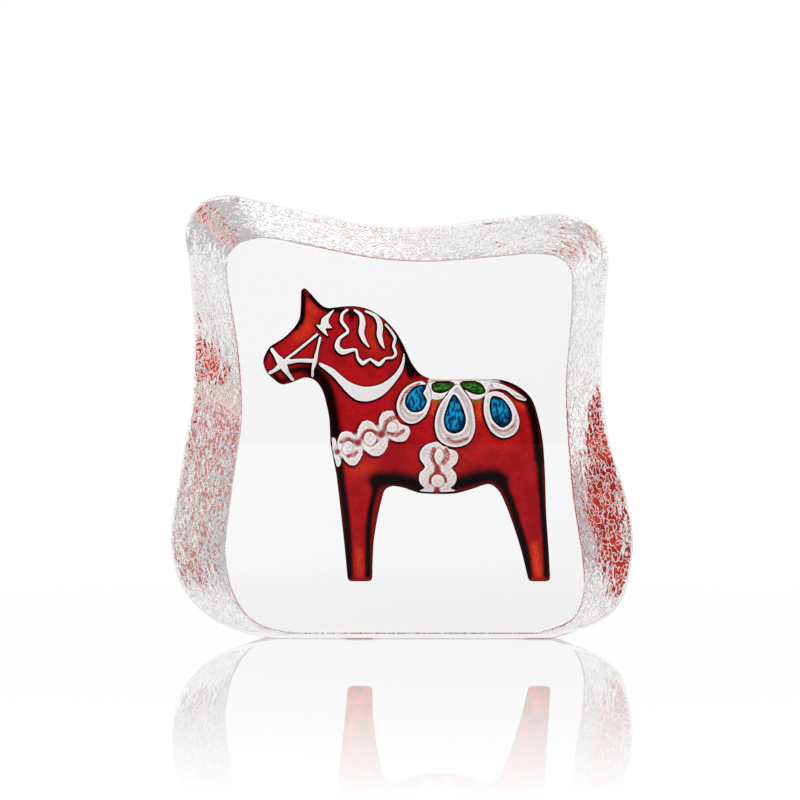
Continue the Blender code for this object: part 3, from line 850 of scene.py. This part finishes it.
def redFinish():
    form = redForm
    material, made, links, grained = enamelBase("redEnamel", form["grain"], form["roughness"])
    clouds = ranged(made, links, grained.outputs["Cloud"], 0, 1, 0, form["cloudShare"])
    colour = mixColours(made, links, clouds, form["body"], form["deep"])
    # painted highlights and orange glaze
    colour = mixColours(made, links, mask(made, "glow"), colour, form["glow"])
    speckle = ranged(made, links, grained.outputs["Speckle"], 0.2, 1, 0, form["speckleShare"])
    colour = mixColours(made, links, speckle, colour, form["deep"])
    # painted shade, partly real dark paint, along the outline, and a painted shadow below and left of the
    # fields; then the other glazes: mask, its range, strength, colour
    shades = (
        ("edgeNear", 0.45, 1.0, 0.7, "deep"),
        ("edgeNear", 0.88, 0.97, 1.0, "dark"),
        ("fieldNear", 0.35, 0.92, 0.9, "deep"),
        ("fieldNear", 0.72, 0.9, 1.0, "dark"),
        ("ringGlow", 0.3, 0.7, 1.0, "blush"),
        ("pale", 0.25, 0.75, 1.0, "white"),
        ("ringRed", 0.25, 0.8, 0.95, "ring"),
        ("olive", 0.1, 0.9, 0.8, "olive"),
        ("dropNear", 0.7, 0.84, 1.0, "dark"),
    )
    for name, low, high, strength, shade in shades:
        share = ranged(made, links, mask(made, name), low, high, 0, strength)
        colour = mixColours(made, links, share, colour, form[shade])
    # the grain breaks up the airbrush's dark paint and painted shade
    sprayedShade = addNode(made, "Math", operation="MULTIPLY_ADD")
    links.new(grained.outputs["Speckle"], sprayedShade.inputs[0])
    sprayedShade.inputs[1].default_value = form["sprayBreak"]
    links.new(mask(made, "airbrush"), sprayedShade.inputs[2])
    share = ranged(made, links, sprayedShade.outputs[0], *form["sprayRange"])
    colour = mixColours(made, links, share, colour, form["dark"])
    # painted reflection: where the walls mirror the flank, its colour is painted a brighter orange-red
    # without the airbrush, and paler with each mirroring
    depth = made.new("ShaderNodeLightPath").outputs["Ray Depth"]
    uneven = ranged(made, links, grained.outputs["Cloud"], 0, 1, 0, form["flankDeep"])
    mirrored = mixColours(made, links, uneven, form["glow"], form["flank"])
    paling = ranged(made, links, depth, *form["flankPaling"])
    mirrored = mixColours(made, links, paling, mirrored, form["pale"])
    inWalls = passes(made, links, depth, seenDirectly)
    finishColour(made, links, mixColours(made, links, inWalls, colour, mirrored))
    return material


# share is the most of the speckle colour, and spread the grain values between which it comes in;
# line is the colour of the painted shade in the petals' groove, and rim the edge's
fieldFinishes = {
    "white": {
        "body": (0.80, 0.77, 0.77),
        "speckle": (0.55, 0.24, 0.21),
        "share": 0.62,
        "spread": (0.25, 1),
        "line": (0.40, 0.33, 0.33),
        "rim": (0.88, 0.87, 0.87),
        "roughness": 0.45,
        "stretch": (1, 1, 1),
    },
    "blue": {
        "body": (0.006, 0.31, 0.58),
        "speckle": (0.001, 0.022, 0.10),
        "share": 0.97,
        "spread": (0.15, 0.85),
        "line": (0.002, 0.03, 0.09),
        "rim": (0.001, 0.006, 0.02),
        "roughness": 0.4,
        "stretch": (1, 1, 0.4),
    },
    "green": {
        "body": (0.06, 0.23, 0.035),
        "speckle": (0.008, 0.028, 0.005),
        "share": 0.92,
        "spread": (0.15, 0.85),
        "line": (0.14, 0.34, 0.09),
        "rim": (0.003, 0.01, 0.002),
        "roughness": 0.4,
        "stretch": (0.4, 1, 1),
    },
}
fieldGrain = (2400.0, 1500.0, 0.3)  # speckle size, cloud size, bump height
pooledForm = {"colour": (0.34, 0.018, 0.012), "range": (0.15, 0.7), "thinnest": 0.6}


def fieldFinish(name):
    form = fieldFinishes[name]
    sizes = (*fieldGrain, form["stretch"])
    material, made, links, grained = enamelBase(name + "Enamel", sizes, form["roughness"])
    source = "Speckle" if name == "white" else "Cloud"
    share = ranged(made, links, grained.outputs[source], *form["spread"], 0, form["share"])
    specks = addNode(made, "Math", operation="MULTIPLY")
    links.new(share, specks.inputs[0])
    links.new(mask(made, "speckled"), specks.inputs[1])
    colour = mixColours(made, links, specks.outputs[0], form["body"], form["speckle"])
    # dark rims and painted shade on the drops and leaves
    colour = mixColours(made, links, mask(made, "dusk"), colour, form["rim"])
    colour = mixColours(made, links, mask(made, "groove"), colour, form["line"])
    colour = mixColours(made, links, mask(made, "rimTop"), colour, form["rim"])
    blush = addNode(made, "Math", operation="MULTIPLY")
    links.new(ranged(made, links, mask(made, "tint"), *pooledForm["range"]), blush.inputs[0])
    broken = ranged(made, links, grained.outputs["Speckle"], 0.0, 0.7, pooledForm["thinnest"], 1)
    links.new(broken, blush.inputs[1])
    colour = mixColours(made, links, blush.outputs[0], colour, pooledForm["colour"])
    # painted reflection: where the walls mirror it, its colour is painted paler
    inWalls = passes(made, links, made.new("ShaderNodeLightPath").outputs["Ray Depth"], seenDirectly)
    finishColour(made, links, mixColours(made, links, inWalls, colour, redForm["pale"]))
    return material


crystalForm = {
    "ior": 1.52,
    "mirrorings": 3.5,
    "turns": 7.5,
    "escape": (0.54, 0.54, 0.55, 1),
    "thinTint": (0.97, 0.97, 0.97),
    "thickTint": (0.92, 0.92, 0.922),
    "thicker": (5.5, 0, -9.0),
    "thickRange": (-0.95, 0.35),
}


def crystalShader(made, links, shader):
    # soft shadows through the glass, and after a few turns a painted grey glow in place of the light
    # trapped in it
    form = crystalForm
    shader.inputs["IOR"].default_value = form["ior"]
    shader.inputs["Transmission Weight"].default_value = 1
    path = made.new("ShaderNodeLightPath")
    either = addNode(made, "Math", operation="MAXIMUM")
    links.new(path.outputs["Is Shadow Ray"], either.inputs[0])
    links.new(path.outputs["Is Diffuse Ray"], either.inputs[1])
    clear = made.new("ShaderNodeBsdfTransparent")
    mix = made.new("ShaderNodeMixShader")
    links.new(either.outputs[0], mix.inputs[0])
    links.new(shader.outputs[0], mix.inputs[1])
    links.new(clear.outputs[0], mix.inputs[2])
    late = addNode(made, "Math", operation="MAXIMUM")
    links.new(passes(made, links, path.outputs["Glossy Depth"], form["mirrorings"]), late.inputs[0])
    links.new(passes(made, links, path.outputs["Ray Depth"], form["turns"]), late.inputs[1])
    escape = made.new("ShaderNodeEmission")
    escape.inputs["Color"].default_value = form["escape"]
    out = made.new("ShaderNodeMixShader")
    links.new(late.outputs[0], out.inputs[0])
    links.new(mix.outputs[0], out.inputs[1])
    links.new(escape.outputs[0], out.inputs[2])
    links.new(out.outputs[0], made["Material Output"].inputs["Surface"])


def polishedFinish():
    form = crystalForm
    material, made, links = newMaterial("polishedCrystal")
    shader = made["Principled BSDF"]
    shader.inputs["Roughness"].default_value = 0.0
    crystalShader(made, links, shader)
    # painted shade: the glass is tinted greyer towards the lower right
    where = addNode(made, "TexCoord")
    along = addNode(made, "VectorMath", operation="DOT_PRODUCT")
    along.inputs[1].default_value = form["thicker"]
    links.new(where.outputs["Object"], along.inputs[0])
    share = ranged(made, links, along.outputs["Value"], *form["thickRange"])
    tint = mixColours(made, links, share, form["thinTint"], form["thickTint"])
    links.new(tint, shader.inputs["Base Color"])
    return material


# the moulded wall is smooth between fine wandering grooves
castForm = {
    "grooves": {"Scale": 620.0, "Detail": 1.5, "Roughness": 0.5, "Distortion": 0.4},
    "grooveWidth": 0.05,
    "grooveDepth": 0.00012,
    "drawn": (1, 0.55, 1),
    "pits": {"Scale": 2600.0, "Detail": 2.0},
    "pitRange": (0.35, 0.65),
    "roughness": (0.02, 0.09),
    "margins": (1.0, 0.02, 0.05),
}


def castFinish():
    form = castForm
    material, made, links = newMaterial("castCrystal")
    shader = made["Principled BSDF"]
    where = addNode(made, "TexCoord")
    drawn = addNode(made, "Mapping")
    drawn.inputs["Scale"].default_value = form["drawn"]
    links.new(where.outputs["Object"], drawn.inputs["Vector"])
    waves = addNode(made, "TexNoise", sockets=form["grooves"])
    pits = addNode(made, "TexNoise", sockets=form["pits"])
    links.new(drawn.outputs[0], waves.inputs["Vector"])
    links.new(drawn.outputs[0], pits.inputs["Vector"])
    # a groove runs wherever the waves cross their middle height
    middle = addNode(made, "Math", operation="SUBTRACT")
    middle.inputs[1].default_value = 0.5
    links.new(waves.outputs["Fac"], middle.inputs[0])
    away = addNode(made, "Math", operation="ABSOLUTE")
    links.new(middle.outputs[0], away.inputs[0])
    bump = addNode(made, "Bump", sockets={"Strength": 1.0, "Distance": form["grooveDepth"]})
    links.new(ranged(made, links, away.outputs[0], 0, form["grooveWidth"]), bump.inputs["Height"])
    links.new(bump.outputs[0], shader.inputs["Normal"])
    pitted = ranged(made, links, pits.outputs["Fac"], *form["pitRange"], *form["roughness"])
    links.new(pitted, shader.inputs["Roughness"])
    crystalShader(made, links, shader)
    return material


block.data.materials.append(polishedFinish())
block.data.materials.append(castFinish())
centres = np.array([face.center for face in block.data.polygons]) / mm
fromFront, fromBack, fromBase = castForm["margins"]
onWall = (centres[:, 1] > frontFace + fromFront) & (centres[:, 1] < backFace - fromBack)
onWall &= (centres[:, 2] > fromBase) & ~isInside(centres[:, [0, 2]], horse)
block.data.polygons.foreach_set("material_index", onWall.astype(np.int32))

coat.data.materials.append(redFinish())
slots = {s["node"]: s["material_slot"] for s in frame["record"]["subparts"]}
finishes = {name + "_enamel": fieldFinish(name) for name in fieldFinishes}
for node, field in fields.items():
    field.data.materials.append(finishes[slots[node]])
for piece, node in ((block, "crystal_block"), (coat, "red_body_coat")):
    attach(piece, "root")
    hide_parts(node)
print("finishes given")


# floor, light and camera
stageForm = {
    "floorSize": 8.0,
    "cameraHeight": 0.06196,
    "cameraDistance": 0.9,
    "cameraAside": -0.0005,
    "lens": 156.0,
    "floorPale": 0.04,
    "liftNear": 0.93,
    "liftFar": 0.985,
    "gloss": 0.55,
    "glossNear": 0.136,
    "glossFar": 0.39,
    "sky": ((0.0, 0.6), (0.25, 0.62), (0.5, 0.76), (0.85, 1.0)),
    "card": (-0.995, -0.96),
    "cardColour": (0.03, 0.03, 0.03),
    "floorRoughness": 0.6,
    "floorMirrored": (0.12, 0.12, 0.12, 1),
    "softboxPower": 5.0,
    "softboxSize": (0.6, 0.5),
    "softboxPlace": (-0.35, -0.7, 0.8),
    "softboxAim": (0, 0, 0.05),
}
bpy.ops.mesh.primitive_plane_add(size=stageForm["floorSize"], location=(0, 0, -0.0001))
floor = bpy.context.object
floor.name = "floor"


def mirroredRay(made, links):
    # 1 for light that a surface mirrors, 0 for what it scatters or lets through
    path = made.new("ShaderNodeLightPath")
    only = addNode(made, "Math", operation="SUBTRACT", use_clamp=True)
    links.new(path.outputs["Is Reflection Ray"], only.inputs[0])
    links.new(path.outputs["Is Diffuse Ray"], only.inputs[1])
    return only.outputs[0]


def floorFinish():
    form = stageForm
    material, made, links = newMaterial("glossyPaleFloor")
    shader = made["Principled BSDF"]
    shader.inputs["Base Color"].default_value = (form["floorPale"],) * 3 + (1,)
    shader.inputs["Roughness"].default_value = form["floorRoughness"]
    shader.inputs["Specular IOR Level"].default_value = 0
    shader.inputs["Emission Color"].default_value = (1, 1, 1, 1)
    mirror = made.new("ShaderNodeBsdfAnisotropic")
    mirror.inputs["Roughness"].default_value = 0.0
    mirror.inputs["Color"].default_value = (1, 1, 1, 1)
    where = made.new("ShaderNodeTexCoord")
    away = addNode(made, "VectorMath", operation="LENGTH")
    links.new(where.outputs["Object"], away.inputs[0])
    fades = []
    for near, far in ((form["gloss"], 0.0), (form["liftNear"], form["liftFar"])):
        fade = made.new("ShaderNodeMapRange")
        fade.inputs["From Min"].default_value = form["glossNear"]
        fade.inputs["From Max"].default_value = form["glossFar"]
        fade.inputs["To Min"].default_value = near
        fade.inputs["To Max"].default_value = far
        links.new(away.outputs["Value"], fade.inputs["Value"])
        fades.append(fade.outputs[0])
    links.new(fades[1], shader.inputs["Emission Strength"])
    mix = made.new("ShaderNodeMixShader")
    links.new(fades[0], mix.inputs[0])
    links.new(shader.outputs[0], mix.inputs[1])
    links.new(mirror.outputs[0], mix.inputs[2])
    # painted reflection: seen in a mirror, the floor is a dim grey glow, so the crystal mirrors only a
    # little of it
    dim = made.new("ShaderNodeEmission")
    dim.inputs["Color"].default_value = form["floorMirrored"]
    out = made.new("ShaderNodeMixShader")
    links.new(mirroredRay(made, links), out.inputs[0])
    links.new(mix.outputs[0], out.inputs[1])
    links.new(dim.outputs[0], out.inputs[2])
    links.new(out.outputs[0], made["Material Output"].inputs["Surface"])
    return material


floor.data.materials.append(floorFinish())


def makeLight():
    form = stageForm
    world = bpy.data.worlds.new("studio")
    bpy.context.scene.world = world
    world.use_nodes = True
    made, links = world.node_tree.nodes, world.node_tree.links
    where = made.new("ShaderNodeTexCoord")
    split = made.new("ShaderNodeSeparateXYZ")
    links.new(where.outputs["Generated"], split.inputs[0])
    half = addNode(made, "MapRange", sockets={"From Min": -1.0, "From Max": 1.0})
    links.new(split.outputs["Y"], half.inputs["Value"])
    level = made.new("ShaderNodeValToRGB")
    for i, (place, value) in enumerate(form["sky"]):
        stop = level.color_ramp.elements[i] if i < 2 else level.color_ramp.elements.new(place)
        stop.position = place
        stop.color = (value, value, value, 1)
    links.new(half.outputs[0], level.inputs[0])
    # a dark card stands behind the camera, so that the polished front mirrors nothing bright
    card = ranged(made, links, split.outputs["Y"], *form["card"], 1, 0)
    carded = addNode(made, "Math", operation="MULTIPLY")
    links.new(card, carded.inputs[0])
    links.new(mirroredRay(made, links), carded.inputs[1])
    lit = mixColours(made, links, carded.outputs[0], level.outputs[0], form["cardColour"])
    # the backdrop itself is white
    seen = made.new("ShaderNodeLightPath").outputs["Is Camera Ray"]
    links.new(mixColours(made, links, seen, lit, (1.0, 1.0, 1.0)), made["Background"].inputs["Color"])
    bpy.ops.object.light_add(type="AREA", location=form["softboxPlace"])
    lamp = bpy.context.object
    lamp.name = "softbox"
    lamp.data.shape = "RECTANGLE"
    lamp.data.size, lamp.data.size_y = form["softboxSize"]
    lamp.data.energy = form["softboxPower"]
    lamp.rotation_euler = (Vector(form["softboxAim"]) - lamp.location).to_track_quat("-Z", "Y").to_euler()


makeLight()
camera = bpy.data.objects.new("camera", bpy.data.cameras.new("camera"))
bpy.context.scene.collection.objects.link(camera)
camera.data.lens = stageForm["lens"]
camera.data.sensor_width = 36
camera.data.clip_start = 0.01
camera.data.clip_end = 100
frontY = frontFace * mm - stageForm["cameraDistance"]
camera.location = (stageForm["cameraAside"], frontY, stageForm["cameraHeight"])
camera.rotation_euler = (math.pi / 2, 0, 0)
bpy.context.scene.camera = camera
bpy.context.scene.view_settings.view_transform = "Standard"
print("stage set")
